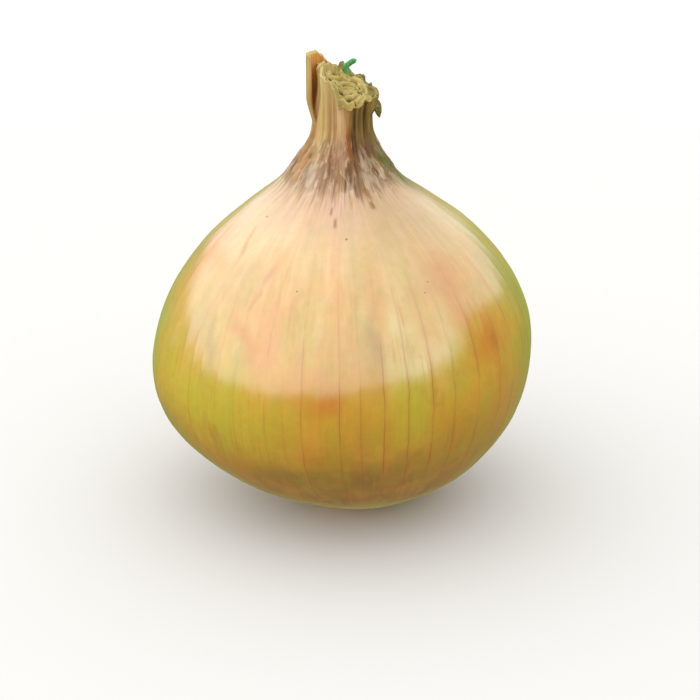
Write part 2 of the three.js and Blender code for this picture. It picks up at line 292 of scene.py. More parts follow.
def vein_ridge(azimuth, z, radius):
    """Height of the raised veins, and the slight dip of the skin between them."""
    phase = vein_phase(azimuth)
    nearest = np.round(phase)
    strength = VEINS[nearest.astype(int) % VEIN_COUNT, 1]
    spacing_mm = 2 * np.pi * radius / VEIN_COUNT
    aside_mm = np.abs(phase - nearest) * spacing_mm
    line = np.exp(-((aside_mm / 0.55) ** 2))
    pillow = np.cos(2 * np.pi * phase) * 0.02
    shown = smoothstep(z, 3, 16) * (1 - smoothstep(z, 112, 128))
    return shown * (VEIN_HEIGHT * strength * line + pillow)


def gap_relief(azimuth, z):
    """Slow swellings of the skin, different from one gap between veins to the next."""
    phase = vein_phase(azimuth)
    gap = np.floor(phase).astype(int)
    swing = [
        lerp(tilt[gap % VEIN_COUNT], tilt[(gap + 1) % VEIN_COUNT], smoothstep(phase - gap, 0.65, 1))
        for tilt in GAP_TILTS
    ]
    turn = 2 * np.pi * z / 46
    return 0.07 * (swing[0] * np.sin(turn) + swing[1] * np.cos(turn)) * smoothstep(z, 8, 30) * (1 - smoothstep(z, 84, 108))


def shaped_radius(radius, azimuth, z):
    body = np.sin(np.pi * np.clip(z / 150, 0, 1))
    shaped = radius
    for count, size, phase in LOBES:
        shaped = shaped * (1 + size * body * np.cos(np.radians(count * (azimuth - phase))))
    shaped = shaped - smoothstep(z, PLEAT_START, PLEAT_FULL) * pleat_depth(azimuth)
    by_lip = 1 - smoothstep(np.abs(turn_between(azimuth, LIP["azimuth"])), LIP["half_width"] * 0.6, LIP["half_width"])
    return shaped + LIP["out"] * by_lip * smoothstep(z, LIP["bottom"] - 1, LIP["bottom"] + 1)


SKIN_WAVES = waves(21, 14, 3, 9)
GAP_TILTS = np.random.default_rng(25).normal(0, 1, (2, VEIN_COUNT))
FLAKES = waves(23, 24, 1.0, 2.6)
SHREDDED = waves(24, 18, 2, 5)
TONGUES = ring_noise(13, 3, 14)
TATTERS = ring_noise(14, 20, 90)


def paper_edge(azimuth):
    """Height at which the outermost dry paper is torn off, round the foot of the neck."""
    return 139.5 + 3.4 * TONGUES(azimuth) + 1.0 * TATTERS(azimuth)


def flakiness(azimuth, z):
    """The crumpled paper at the foot of the neck: where there is any, and its flakes, from -1 to 1."""
    zone = smoothstep(z, 128, 134) * (1 - smoothstep(z, 145, 150))
    return zone, FLAKES(*around(azimuth, z, 17, 2)) + 0.3 * SHREDDED(*around(azimuth, z, 17, 2))


def fine_relief(azimuth, z, radius):
    """What the solids are too coarse for: veins, soft dents, folds and creases of the dry neck."""
    dents = 0.22 * SKIN_WAVES(*around(azimuth, z, 1, 40)) * smoothstep(z, 6, 30) * (1 - smoothstep(z, 90, 120))
    neck = smoothstep(z, 124, 148)
    slant = 0.5 * smoothstep(turn_between(azimuth, 26), -10, 10) * (1 - smoothstep(turn_between(azimuth, 90), -10, 10))
    drift = azimuth + 4 * np.sin(z / 7) * (1 - neck) + 1.5 * np.sin(z / 3.1 + np.radians(azimuth * 2))
    drift = drift + slant * 1.6 * (151 - z) * neck
    strap = np.exp(-((turn_between(azimuth, -3) / 9) ** 4))
    calm = 1 - 0.75 * strap - 0.6 * np.exp(-((turn_between(azimuth, -34) / 22) ** 4))
    folds = neck * calm * (0.2 * FOLDS(drift) + 0.07 * CREASES(drift))
    creases = -0.16 * neck * sum(
        deep * np.exp(-np.abs(turn_between(drift, at) / 1.1) ** 1.5) for at, deep, _ in PLEATS
    )
    zone, flakes = flakiness(azimuth, z)
    crumpled = zone * (0.22 * smoothstep(flakes, 0.0, 0.35) + 0.06 * SHREDDED(*around(azimuth, z, 17, 1)) - 0.08)
    edge = paper_edge(azimuth)
    paper = 0.24 * smoothstep(z, edge - 0.25, edge + 0.25) * (1 - smoothstep(z, edge + 1, edge + 7))
    return vein_ridge(azimuth, z, radius) + gap_relief(azimuth, z) + dents + folds + creases + crumpled + paper - 0.26


def peel_inset(azimuth, z):
    aside = np.abs(turn_between(azimuth, (PEEL["start"] + PEEL["end"]) / 2))
    return PEEL["inset"] * (1 - smoothstep(aside, 54, 70)) * smoothstep(z, 152, PEEL["free"])


def skin_point(radius, azimuth, z, fraction=1):
    """A point of the skin from its row's plain radius and height."""
    a = np.radians(azimuth)
    reach = shaped_radius(radius, azimuth, z) + fine_relief(azimuth, z, radius) - peel_inset(azimuth, z)
    reach = reach * fraction
    lean = LEAN * np.sin(np.pi * np.clip(z / LEAN_HEIGHT, 0, 1))
    x = reach * np.sin(a)
    stretch = np.clip((z - WAIST) / (TOP - WAIST), 0, 1)
    height = lerp(z + lean * x, rim_height(azimuth), stretch**1.5)
    return np.stack([x + axis_at(z), -reach * np.cos(a), height], -1)


def cut_height(x, y):
    azimuth = np.degrees(np.arctan2(x, -y))
    share = np.minimum(np.hypot(x, y) / (RIM_RADIUS - WALL), 1)
    return lerp(CUT_MIDDLE, rim_height(azimuth), share**1.6)


# Meshes

def grid_mesh(name, points, cap_first=False, cap_last=False, wrap=True):
    """An object from rows of points, in millimetres. Rows run upwards and columns
    to the right, seen from outside. A cap closes a row to its middle point."""
    rows, columns = points.shape[:2]
    vertices = points.reshape(-1, 3)
    index = np.arange(rows * columns).reshape(rows, columns)
    across = np.roll(index, -1, 1) if wrap else index[:, 1:]
    here = index if wrap else index[:, :-1]
    quads = np.stack([here[:-1], across[:-1], across[1:], here[1:]], -1).reshape(-1, 4)
    faces = quads.tolist()
    if cap_first:
        vertices = np.vstack([vertices, points[0].mean(0)])
        middle = len(vertices) - 1
        faces += [(middle, int(b), int(a)) for a, b in zip(here[0], across[0])]
    if cap_last:
        vertices = np.vstack([vertices, points[-1].mean(0)])
        middle = len(vertices) - 1
        faces += [(middle, int(a), int(b)) for a, b in zip(here[-1], across[-1])]
    return mesh_object(name, vertices, faces)


def mesh_object(name, vertices, faces):
    mesh = bpy.data.meshes.new(name)
    mesh.from_pydata((np.asarray(vertices) * MM).tolist(), [], faces)
    mesh.validate()
    mesh.shade_smooth()
    piece = bpy.data.objects.new(name, mesh)
    bpy.context.scene.collection.objects.link(piece)
    return piece


def give(piece, name, values):
    """Stores a number, a vector or a colour with its cover for each vertex.
    The middle points of caps repeat the last value."""
    values = np.asarray(values, float)
    width = values.shape[2] if values.ndim == 3 else 1
    flat = values.reshape(-1, width)
    missing = len(piece.data.vertices) - len(flat)
    flat = np.concatenate([flat, np.repeat(flat[-1:], missing, 0)])
    kind, field = {1: ("FLOAT", "value"), 3: ("FLOAT_VECTOR", "vector"), 4: ("FLOAT_COLOR", "color")}[width]
    attribute = piece.data.attributes.new(name, kind, "POINT")
    attribute.data.foreach_set(field, flat.ravel().astype(np.float32))


def add(piece, material, node):
    """Puts a piece into the onion: its material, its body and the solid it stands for."""
    piece.data.materials.append(material)
    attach(piece, "root")
    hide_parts(node)
    return piece


def grain(azimuth, z):
    """Coordinates that follow the veins: direction in vein phase, and height."""
    turn = vein_phase(azimuth) / VEIN_COUNT * 2 * np.pi
    return np.stack([np.cos(turn), np.sin(turn), np.broadcast_to(z / BULB_RADIUS, turn.shape)], -1)


# Tints of the marks, as seen in even light
TINTS = dict(
    orange=(212, 118, 28), amber=(178, 98, 20), gold=(214, 150, 36), peach=(226, 150, 88),
    lime=(200, 184, 52), olive=(140, 130, 40), fern=(142, 148, 46), sage=(128, 124, 62), bark=(96, 56, 22),
    pearl=(226, 208, 154), cream=(238, 212, 164), rose=(186, 100, 56), blush=(218, 174, 154),
    khaki=(186, 150, 92), straw=(210, 178, 128), biscuit=(220, 182, 150), mauve=(164, 122, 98), ash=(186, 166, 152),
    tan=(224, 144, 80), ochre=(158, 116, 52), umber=(64, 38, 12), brown=(102, 76, 36),
    rust=(142, 76, 36), moss=(86, 100, 34), maroon=(98, 38, 36),
)
# Marks of the skin: azimuth, height, half width in degrees, half height, strength and tint
BODY_MARKS = [
    (-76, 100, 12, 13, 0.55, "orange"), (-86, 112, 12, 12, 0.5, "amber"), (-64, 114, 7, 4, 0.4, "biscuit"), (-60, 97, 11, 12, 0.4, "gold"), (41, 95, 9, 12, 0.35, "gold"),
    # The cream mark at azimuth -40, height 119 is a painted highlight.
    (-40, 119, 18, 8, 0.35, "cream"), (-5, 127, 24, 7, 0.7, "blush"), (36, 121, 20, 9, 0.8, "khaki"),
    (-40, 106, 12, 6, 0.35, "khaki"), (40, 104, 9, 6, 0.5, "orange"), (-28, 106, 1.3, 3, 0.45, "rose"),
    (-26, 102, 1.0, 2, 0.45, "rose"), (40, 112, 26, 22, 0.4, "khaki"), (7.5, 95, 3.2, 11, 0.5, "khaki"), (19.5, 88, 3.4, 15, 0.7, "pearl"),
    (26, 79, 5.5, 9, 0.9, "pearl"), (33, 86, 3, 12, 0.5, "pearl"), (14, 78, 2.6, 10, 0.5, "pearl"),
    (-29.5, 86, 3, 10, 0.7, "orange"), (-21, 86, 4, 11, 0.55, "peach"), (-7, 79, 6, 5, 0.7, "peach"),
    (-8, 67.5, 9, 7, 1.0, "orange"), (2, 85, 8, 9, 0.4, "khaki"), (-23, 81, 6, 8, 0.5, "peach"), (5, 61, 9, 9, 0.75, "gold"), (-20, 57, 6, 8, 0.5, "gold"), (-51, 88, 6, 10, 0.55, "khaki"), (-42, 84, 2.5, 9, 0.5, "ochre"),
    (9, 84, 3, 11, 0.5, "ochre"),
    (19.5, 60, 8, 14, 0.8, "lime"), (-40, 60, 17, 15, 0.9, "lime"), (-22, 47, 9, 5, 0.5, "lime"), (-30, 40, 7, 5, 0.4, "gold"), (32, 52, 5, 12, 0.4, "gold"),
    (-18, 35, 14, 6, 0.6, "sage"), (14, 34, 13, 7, 0.5, "sage"), (8, 34, 8, 5, 0.2, "bark"), (-6, 42, 5, 6, 0.35, "orange"),
    (48, 77, 9, 17, 1.0, "orange"), (52, 75, 2.2, 9, 0.4, "rust"), (62, 50, 15, 18, 0.8, "tan"),
    (-86, 72, 13, 32, 0.5, "fern"), (77, 82, 12, 35, 0.7, "fern"), (88, 60, 10, 20, 0.5, "lime"),
    (104, 42, 11, 16, 0.6, "lime"), (118, 60, 9, 14, 0.8, "orange"), (130, 88, 5, 18, 0.6, "pearl"),
    (146, 40, 13, 14, 0.5, "olive"), (140, 72, 6, 12, 0.5, "gold"), (165, 72, 6, 18, 0.7, "orange"),
    (172, 92, 4, 16, 0.6, "peach"), (178, 108, 12, 7, 0.6, "khaki"), (192, 84, 6, 18, 0.6, "lime"),
    (205, 50, 9, 11, 0.8, "orange"), (221, 94, 8, 12, 0.6, "pearl"), (232, 46, 11, 16, 0.7, "lime"),
    (247, 78, 5, 16, 0.7, "amber"), (262, 104, 10, 8, 0.5, "blush"), (270, 62, 8, 18, 0.5, "pearl"),
    (158, 126, 30, 6, 0.6, "blush"), (230, 124, 24, 6, 0.5, "khaki"), (284, 44, 11, 14, 0.6, "olive"),
]
# Marks of the dry neck, the same way. Heights above 151 are stretched up to the cut edge.
NECK_MARKS = [
    (-63, 108, 9, 2.4, 0.3, "tan"), (-72, 108, 4, 4.5, 0.45, "tan"), (-64, 114, 5.5, 3.2, 0.3, "biscuit"),
    (-42, 152, 18, 12, 0.6, "straw"), (-4, 155, 9, 9, 0.85, "biscuit"), (-3, 145, 8, 4, 0.8, "mauve"),
    (-27, 152, 1.6, 8, 0.35, "brown"), (-13.5, 150, 1.2, 9, 0.3, "brown"), (-14, 157, 5, 8, 0.6, "biscuit"), (-2, 141, 9, 3, 0.6, "mauve"),
    (13, 151, 4, 10, 0.7, "rust"), (25, 153, 4, 13, 0.95, "umber"), (36, 155, 9, 11, 0.9, "brown"),
    (52, 154, 12, 12, 0.9, "brown"), (50, 158, 3, 7, 0.9, "umber"), (64, 158, 6, 7, 0.5, "ochre"),
    (82, 157, 15, 13, 0.95, "moss"), (76, 139, 12, 8, 0.95, "moss"), (92, 132, 12, 7, 0.7, "moss"),
    (62, 147, 10, 5, 0.7, "brown"), (-72, 146, 12, 6, 0.85, "ochre"), (-62, 138, 9, 5, 0.7, "ochre"),
    (-36, 137, 10, 3.5, 0.75, "ash"), (31, 139.5, 4, 2.6, 0.5, "ash"), (38, 140, 3.5, 2.5, 0.5, "brown"), (31, 135, 7, 1.8, 0.9, "ash"),
    (-14, 138, 5, 4, 0.5, "mauve"), (9, 139, 5, 4, 0.3, "bark"), (-26, 142, 4, 2.5, 0.4, "mauve"), (-46, 142, 6, 3, 0.35, "ochre"), (46, 142, 12, 4, 0.5, "brown"),
    (-48, 160.5, 30, 5, 0.65, "pearl"), (8, 161.8, 16, 1.4, 0.5, "pearl"), (56, 161.8, 14, 1, 0.4, "pearl"),
    (120, 152, 8, 12, 0.6, "brown"), (150, 146, 7, 9, 0.6, "rust"), (140, 140, 18, 4, 0.6, "ash"),
    (175, 156, 9, 8, 0.7, "straw"), (186, 154, 2.5, 10, 0.8, "umber"), (204, 150, 6, 10, 0.6, "brown"),
    (222, 146, 8, 6, 0.7, "mauve"), (246, 152, 5, 10, 0.6, "ochre"), (210, 140, 20, 4, 0.6, "ash"),
    (268, 139, 10, 4, 0.6, "mauve"), (-178, 162, 7, 3, 0.95, "umber"), (142, 162, 16, 2, 0.8, "umber"),
]
# Marks of the cut face, with the share of the way from its middle to its edge, in hundredths, as height
CUT_MARKS = [
    (-45, 92, 36, 18, 0.8, "pearl"), (-105, 78, 46, 34, 0.75, "pearl"), (-165, 68, 26, 14, 0.4, "gold"),
    (88, 66, 40, 16, 0.25, "pearl"), (0, 40, 50, 20, 0.2, "pearl"), (20, 86, 16, 12, 0.3, "khaki"),
    (106, 90, 10, 10, 0.9, "moss"), (88, 94, 8, 8, 0.6, "moss"), (140, 99, 16, 7, 0.9, "umber"),
    (165, 92, 24, 10, 0.5, "moss"), (-178, 99, 12, 10, 0.95, "umber"),
]
# Strokes of dark or pale fibre: azimuth and height of the top, then of the foot, half width, strength, tint
STROKES = [
    (-78, 118, -71, 107, 1.3, 0.5, "tan"), (-55, 120, -49, 110.5, 0.9, 0.4, "rose"),
    (6, 140, 4.5, 131, 0.5, 0.6, "bark"), (10.5, 139, 10, 133, 0.5, 0.75, "umber"), (17, 142, 20, 135.5, 0.6, 0.7, "bark"),
    (19, 136.5, 18, 128, 0.7, 0.65, "bark"), (13, 134.5, 16, 129, 0.6, 0.65, "bark"), (23, 132.6, 26, 128.6, 0.9, 0.7, "rust"),
    (24.5, 128.4, 25, 125.8, 0.6, 0.7, "bark"), (63, 143.5, 66, 136.5, 0.9, 0.9, "moss"),
    (42, 141, 46, 135, 0.7, 0.9, "bark"), (43, 146, 44, 143, 1.0, 0.8, "maroon"), (-16, 142, -13.5, 135.5, 0.7, 0.8, "bark"),
    (-18, 147, -18, 140, 0.5, 0.8, "rust"), (12, 153, 12.5, 141.5, 1.1, 0.95, "rust"), (19.5, 153, 19, 143, 0.6, 0.9, "umber"),
    (9.5, 142, 9, 137.5, 1.1, 0.6, "bark"), (-18, 136, -18, 129.5, 0.5, 0.55, "mauve"), (-8, 135, -8, 129, 0.7, 0.5, "mauve"),
    (-66, 144.5, -70, 139, 0.8, 0.8, "ochre"), (-57, 142, -55, 133, 1.5, 0.35, "tan"), (-50, 143.4, -50, 141, 0.7, 0.8, "brown"),
    (-32, 149, -38, 142.5, 0.5, 0.6, "brown"), (-35, 143.6, -35, 141, 0.5, 0.4, "cream"), (5.5, 142, 5.5, 139.4, 0.45, 0.5, "straw"),
    (-45, 141, -43, 136, 0.9, 0.5, "brown"), (-27, 140, -26, 134, 0.7, 0.5, "mauve"), (30, 146, 34, 141, 0.6, 0.7, "bark"),
    (54, 146, 60, 139, 0.6, 0.7, "bark"), (52, 141, 56, 136, 0.4, 0.4, "cream"), (34, 134, 38, 130, 0.6, 0.4, "bark"),
    (-1, 137, -1, 132, 0.4, 0.5, "mauve"), (-22, 133, -24, 128, 0.5, 0.35, "mauve"), (1, 128, 1, 124.5, 0.4, 0.35, "mauve"),
    (-6, 127.4, -6.2, 125, 0.6, 0.7, "rust"), (-3.2, 124.4, -3, 121.4, 0.7, 0.7, "rust"),
]
# Small dark spots: azimuth, height and radius
SPOTS = [
    (3.5, 118.5, 0.7), (-52.5, 122.4, 0.6), (-16, 104, 0.5), (31, 100, 0.45), (34, 103, 0.45), (150, 118, 0.8),
    (171, 110, 0.7), (226, 121, 0.8), (256, 99, 0.6), (104, 112, 0.6),
]
BACK_STROKES = 46


def back_strokes():
    """Seeded strokes for the sides that the photograph doesn't show."""
    rng = np.random.default_rng(SEED + 1)
    tints = ("bark", "bark", "umber", "rust", "mauve", "ash")
    strokes = []
    for i in range(BACK_STROKES):
        at, top = lerp(74, 296, (i + rng.uniform(0, 1)) / BACK_STROKES), rng.uniform(134, 146)
        half, strength = rng.uniform(0.5, 1.1), rng.uniform(0.5, 0.9)
        strokes.append((at, top, at + rng.uniform(-3, 3), top - rng.uniform(4, 9), half, strength, tints[i % len(tints)]))
    return strokes


def stroke_share(azimuth, z, at, top, foot_at, foot, half, strength):
    t = (top - z) / (top - foot)
    aside = np.abs(turn_between(azimuth, lerp(at, foot_at, t))) * np.pi / 180 * side_radius(z)
    width = half * np.clip(1 + 0.4 * SHREDDED(*around(azimuth, z, 17, 2)), 0.5, 1.5)
    return strength * np.exp(-((aside / width) ** 3)) * smoothstep(t, -0.1, 0.25) * (1 - smoothstep(t, 0.7, 1.1))


def spread(azimuth, z, at, height, half_turn, half_height):
    return np.exp(-((turn_between(azimuth, at) / half_turn) ** 2) - ((z - height) / half_height) ** 2)


def paint(azimuth, z, marks, wander, strokes=()):
    """Colour and cover of the marks laid over each other. Their outlines wander by a few degrees."""
    bent = azimuth + wander * SKIN_WAVES(*around(azimuth, z, 2.3, 16))
    shifted = z + wander * SKIN_WAVES(*around(azimuth, z, 2.9, 13))
    layers = [(strength * spread(bent, shifted, *where), tint) for *where, strength, tint in marks]
    layers += [(stroke_share(azimuth, z, *where), tint) for *where, tint in strokes]
    colour, cover = np.zeros(z.shape + (3,)), np.zeros(z.shape)
    for share, tint in layers:
        colour += share[..., None] * (np.array(rgb(*TINTS[tint])[:3]) - colour)
        cover += share * (1 - cover)
    return np.concatenate([colour / np.maximum(cover, 1e-4)[..., None], cover[..., None]], -1)


def onion_skin(material):
    """Skin from the dimple under the bulb to the cut edge of the neck."""
    azimuth = COLUMN_AZIMUTHS
    side = side_rows([4, 8, 9, 9, 9, 9, 12, 18, 18, 12, 10, 10, 12, 24])
    foot = [(DIMPLE_RADIUS - 4, 6.7), (DIMPLE_RADIUS - 1.5, DIMPLE_HEIGHT), (DIMPLE_RADIUS - 0.5, 4.4)]
    foot += [(DIMPLE_RADIUS, 2.2), (DIMPLE_RADIUS + 0.3, 0.9), (RING_INNER, 0.12), (RING_INNER + 0.6, 0)]
    a = np.broadcast_to(azimuth, (len(side), len(azimuth)))
    r, z = (np.broadcast_to(side[:, k : k + 1], a.shape) for k in (0, 1))
    points = skin_point(r, a, z)
    points[0, :, 2] = 0
    turn = np.radians(azimuth)
    gathers = 0.25 * FOLDS(azimuth)
    under = []
    for radius, height in foot:
        reach = radius + gathers * (height > 0.5)
        under.append(np.stack([FOOT_OFFSET + reach * np.sin(turn), -reach * np.cos(turn), 0 * turn + height], -1))
    points = np.concatenate([under, points])
    z = np.concatenate([[np.full(len(azimuth), h) for _, h in foot], z])
    a = np.broadcast_to(azimuth, z.shape)
    piece = grid_mesh("onion_skin", points, cap_first=True)
    give(piece, "grain", grain(a, z))
    give(piece, "height", z)
    nearest = np.round(vein_phase(a)).astype(int) % VEIN_COUNT
    give(piece, "vein", VEINS[nearest, 1])
    give(piece, "body_paint", paint(a, z, BODY_MARKS, 3))
    give(piece, "neck_paint", paint(a, z, NECK_MARKS, 0.8, STROKES + back_strokes()))
    zone, flakes = flakiness(a, z)
    give(piece, "flaky", zone)
    give(piece, "flakes", flakes * 0.5 + 0.5)
    edge = paper_edge(a)
    # torn: positive just above the paper's torn edge for its pale rim of thin paper, negative just below it for a
    # painted shadow line.
    give(piece, "torn", np.exp(-(((z - edge - 0.6) / 0.7) ** 2)) - np.exp(-(((z - edge + 0.5) / 0.5) ** 2)))
    return add(piece, material, "bulb")


def sheath_mask(sheath, x, y):
    """How far a point lies in the wall of an inner sheath, from 0 outside to 1 inside."""
    u, v = x - sheath["x"], (y - sheath["y"]) / sheath["squash"]
    a, reach = np.degrees(np.arctan2(u, -v)), np.hypot(u, v)
    start, end = sheath["start"], sheath["end"]
    a = (a - start) % 360 + start
    outer = sheath["radius"] * (1 + 0.03 * np.sin(np.radians(5 * a + start)) + 0.02 * np.sin(np.radians(9 * a)))
    wall = sheath["wall"] * (1 + 0.2 * np.sin(np.radians(4 * a + end)))
    soft = 0.22
    across = smoothstep(outer - reach, -soft, soft) * smoothstep(reach - outer + wall, -soft, soft)
    along = smoothstep(a, start, start + 4) * (1 - smoothstep(a, end - 4, end))
    ragged = 0.3 * np.sin(np.radians(5 * np.degrees(np.arctan2(x, -y)) + start))
    return across * along, sheath["rise"] + ragged - 0.25 * smoothstep(outer - reach, 0.2, wall)


CUT_COLUMNS = 480
CUT_WAVES = waves(31, 18, 0.5, 1.8)
CUT_FIBRES = waves(32, 26, 5, 14)
# Holes between the dried layers: place, half length, half width and direction in degrees
HOLES = [
    (-4.25, 3.0, 0.9, 0.75, 0), (-0.3, -4.9, 1.6, 0.62, -38), (1.3, 0.7, 1.9, 0.42, -76), (2.85, -7.6, 0.9, 0.8, -60),
    (5.8, -1.3, 3.1, 0.42, -54), (7.0, 0.7, 2.7, 0.34, -56), (9.5, 0.1, 0.9, 0.5, -60), (4.9, -8.3, 0.8, 0.3, -50), (-4.2, -1.2, 2.4, 0.3, -84), (-3.4, 7.2, 1.0, 0.5, 20),
    (4.6, 5.4, 1.6, 0.4, -30),
]


def hole_depth(x, y):
    total = 0
    for at_x, at_y, half_long, half_wide, turn in HOLES:
        c, n = math.cos(math.radians(turn)), math.sin(math.radians(turn))
        u, v = (x - at_x) * c + (y - at_y) * n, (y - at_y) * c - (x - at_x) * n
        v = v + 0.16 * np.sin(u * 2.3 + at_x)
        total = total + np.exp(-((u / half_long) ** 4) - (v / half_wide) ** 2)
    return np.clip(total, 0, 1)


def cut_face(material):
    """The slanted cut across the neck: the wall's rim and the ends of the sheaths inside it."""
    azimuth = np.arange(CUT_COLUMNS) * 360 / CUT_COLUMNS - 180
    share = np.concatenate([np.linspace(1, 0.8, 30)[:-1], np.linspace(0.8, 0.05, 90)])
    a = np.broadcast_to(azimuth, (len(share), CUT_COLUMNS))
    part = np.broadcast_to(share[:, None], a.shape)
    edge = skin_point(np.full(a.shape, float(RIM_RADIUS)), a, np.full(a.shape, float(TOP)))
    middle = axis_at(TOP)
    x = middle + (edge[..., 0] - middle) * part
    y = edge[..., 1] * part
    surface = cut_height(x, y)
    floor = surface - CUT_DEPTH * (0.3 + 0.1 * CUT_WAVES(x, y))
    reach = np.hypot(edge[..., 0] - middle, edge[..., 1])
    from_edge = (1 - part) * reach
    thick = WALL * (1 + 0.2 * FOLDS(a))
    rim = 1 - smoothstep(from_edge, thick - 0.3, thick + 0.1)
    bevel = 0.55 * (1 - np.clip(from_edge / 1.1, 0, 1)) ** 2
    height = lerp(floor, edge[..., 2] - 0.1 - 0.5 * (1 - part), rim)
    for sheath in INNER_SHEATHS:
        mask, rise = sheath_mask(sheath, x, y)
        height = np.maximum(height, lerp(floor, surface + rise, mask))
    top = smoothstep(height - surface, -1.0, -0.1)
    inside = 1 - smoothstep(part, 0.985, 1.0)
    height = height + inside * (0.09 * CUT_WAVES(x * 1.7, y * 1.7) + 0.03 * CUT_FIBRES(x, y) * top - bevel)
    hole = hole_depth(x, y) * inside
    height = height - HOLE_DEPTH * hole
    height[0] = edge[0, :, 2]
    piece = grid_mesh("cut_face", np.stack([x, y, height], -1), cap_last=True)
    give(piece, "depth", np.clip((surface - height) / CUT_DEPTH, 0, 1))
    give(piece, "wall", rim)
    give(piece, "cut_paint", paint(a, part * 100, CUT_MARKS, 3))
    return add(piece, material, "bulb")


def peeled_sheath(material):
    """Dry sheath that has come away from the neck on the left: a thin closed leaf."""
    across, up = 120, 90
    u = np.linspace(0, 1, across)
    azimuth = lerp(PEEL["start"], PEEL["end"], u)
    section = np.concatenate([azimuth, azimuth[::-1]])
    inner = np.concatenate([np.zeros(across), np.ones(across)])
    t = np.linspace(0, 1, up)[:, None]
    frayed = 0.22 * ring_noise(41, 20, 60)(section) + 0.5 * PEEL["ragged"] * np.sin(np.radians(section * 14))
    top = np.minimum(height_at(PEEL_TOP, section) + frayed, 180.1)
    z = lerp(PEEL["bottom"], top[None], t)
    away = lerp(-PEEL["sunk"], PEEL["out"], smoothstep(z, PEEL["bottom"], PEEL["free"]))
    plain = side_radius(z)
    relief = fine_relief(section[None], np.minimum(z, 158), plain) * (0.6 - 0.45 * inner)
    outer = shaped_radius(plain, section[None], z) + away + relief
    thin = PEEL["wall"] * (1 - 0.75 * smoothstep(t, 0.97, 1.0)) * (1 - 0.5 * smoothstep(np.abs(section - section.mean()), 40, 47))
    reach = outer - inner * thin
    a = np.radians(section)
    points = np.stack([axis_at(z) + reach * np.sin(a), -reach * np.cos(a), z], -1)
    piece = grid_mesh("peeled_sheath", points)
    close_ends(piece, len(section), up)
    give(piece, "grain", grain(np.broadcast_to(section, z.shape), z))
    give(piece, "height", z)
    give(piece, "inner", np.broadcast_to(inner, z.shape))
    give(piece, "across", np.broadcast_to((section - PEEL["start"]) / (PEEL["end"] - PEEL["start"]), z.shape))
    give(piece, "up", np.broadcast_to(t, z.shape))
    return add(piece, material, "bulb")


def close_ends(piece, columns, rows):
    """Closes the first and last row of a flat tube, whose halves lie face to face."""
    mesh = piece.data
    co = np.empty(len(mesh.vertices) * 3)
    mesh.vertices.foreach_get("co", co)
    faces = [tuple(p.vertices) for p in mesh.polygons]
    half = columns // 2
    last = (rows - 1) * columns
    for i in range(half - 1):
        j = columns - 1 - i
        faces.append((i + 1, i, j, j - 1))
        faces.append((last + i, last + i + 1, last + j - 1, last + j))
    mesh.clear_geometry()
    mesh.from_pydata(co.reshape(-1, 3).tolist(), [], faces)
    mesh.validate()
    mesh.shade_smooth()


def tube(path, radii, sides, flat=1.0, turn=0.0):
    """Vertices and faces of a closed round or flat tube along a path."""
    path = np.asarray(path, float)
    along = np.gradient(path, axis=0)
    along /= np.linalg.norm(along, axis=1)[:, None]
    side = np.cross(along, (math.cos(turn), math.sin(turn), 0.2))
    side /= np.linalg.norm(side, axis=1)[:, None]
    over = np.cross(side, along)
    angle = np.arange(sides) * 2 * np.pi / sides
    ring = np.cos(angle)[None, :, None] * side[:, None] + flat * np.sin(angle)[None, :, None] * over[:, None]
    points = path[:, None] + ring * np.asarray(radii)[:, None, None]
    vertices = np.vstack([points.reshape(-1, 3), path[0], path[-1]])
    rows = len(path)
    faces = []
    for i in range(rows - 1):
        for k in range(sides):
            n = (k + 1) % sides
            faces.append((i * sides + k, (i + 1) * sides + k, (i + 1) * sides + n, i * sides + n))
    first, last = rows * sides, rows * sides + 1
    for k in range(sides):
        n = (k + 1) % sides
        faces.append((first, k, n))
        faces.append((last, (rows - 1) * sides + n, (rows - 1) * sides + k))
    return vertices, faces


def joined(parts):
    """One list of vertices and faces from many."""
    vertices, faces, start = [], [], 0
    for v, f in parts:
        vertices.append(v)
        faces += [tuple(i + start for i in face) for face in f]
        start += len(v)
    return np.vstack(vertices), faces


def root_disc(material):
    """Corky plate that the roots grow from."""
    columns = 160
    azimuth = np.arange(columns) * 360 / columns
    a = np.radians(azimuth)
    rough = waves(51, 22, 0.8, 3)
    rows = [(0.4, PLATE["face"]), (2, PLATE["face"]), (4, 4.15), (6, 4.2), (8, 4.25), (10, 4.3), (12, 4.5)]
    rows += [(13.2, 5.0), (13.4, 5.6), (12.6, 6.0), (8, 6.3), (3, 6.5), (0.4, 6.6)]
    points = []
    for radius, height in rows:
        reach = radius * (1 + 0.015 * FOLDS(azimuth))
        x, y = reach * np.sin(a), -reach * np.cos(a)
        bumps = 0.22 * rough(x, y) * (height < 5.2)
        points.append(np.stack([FOOT_OFFSET + x, y, height + bumps], -1))
    piece = grid_mesh("root_disc", np.array(points), cap_first=True, cap_last=True)
    return add(piece, material, "root_plate")


def root_tuft(material):
    """Short dry roots, trimmed level with the foot."""
    rng = np.random.default_rng(SEED)
    parts = []
    count = 230
    for i in range(count):
        distance = 12.4 * math.sqrt((i + 0.5) / count)
        a = i * 2.39996 + rng.uniform(-0.2, 0.2)
        low = rng.uniform(0.5, 2.4)
        high = PLATE["face"] + 0.7
        t = np.linspace(0, 1, 7)
        bend = rng.uniform(-1.1, 1.1, 2)
        spread = min(1.0, 14.2 - distance) * (0.4 + 0.6 * distance / 12.4)
        out = distance + spread * t**1.5
        x = FOOT_OFFSET + out * math.cos(a) + bend[0] * np.sin(t * 3) * 0.5
        y = out * math.sin(a) + bend[1] * np.sin(t * 3.4) * 0.5
        z = lerp(high, low, t)
        radius = rng.uniform(0.28, 0.55) * (1 - 0.35 * t)
        parts.append(tube(np.stack([x, y, z], -1), radius, 6))
    piece = mesh_object("root_tuft", *joined(parts))
    return add(piece, material, "root_plate")


